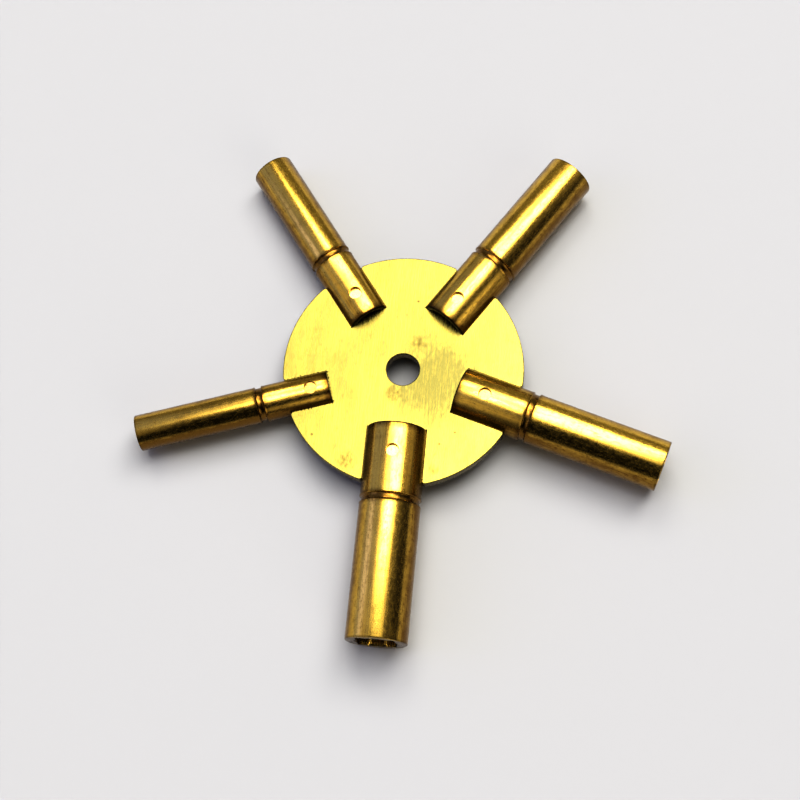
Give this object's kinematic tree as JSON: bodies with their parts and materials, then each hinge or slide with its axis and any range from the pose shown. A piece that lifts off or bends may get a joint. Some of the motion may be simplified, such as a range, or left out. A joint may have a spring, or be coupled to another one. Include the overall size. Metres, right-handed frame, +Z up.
{
  "type": "star socket key",
  "caption": "Flat brass star key: a round hub disc with graded square-socket tubes pinned round its rim, for turning square valve and clock winding spindles.",
  "frame": {"origin": "on the plane the key stands on, under the middle of its overall box", "axes": "+Z up, normal to the hub disc; -Y along the largest socket tube; +X to the right of it, towards the second largest tube"},
  "size_m": [0.0706, 0.068, 0.008],
  "materials": {
    "hub_brass": "rolled brass plate with faint straight brushing, lemon yellow, a few brown stains",
    "tube_brass": "turned brass, satin, warmer and darker than the plate",
    "pin_brass": "brass wire cut flat just below the crest of the tube"
  },
  "bodies": {
    "root": {"hub_disc": "hub_brass", "socket_tube_5_0mm": "tube_brass", "socket_tube_4_5mm": "tube_brass", "socket_tube_4_0mm": "tube_brass", "socket_tube_3_5mm": "tube_brass", "socket_tube_3_0mm": "tube_brass", "cross_pin_5_0mm": "pin_brass", "cross_pin_4_5mm": "pin_brass", "cross_pin_4_0mm": "pin_brass", "cross_pin_3_5mm": "pin_brass", "cross_pin_3_0mm": "pin_brass"}
  },
  "joints": []
}
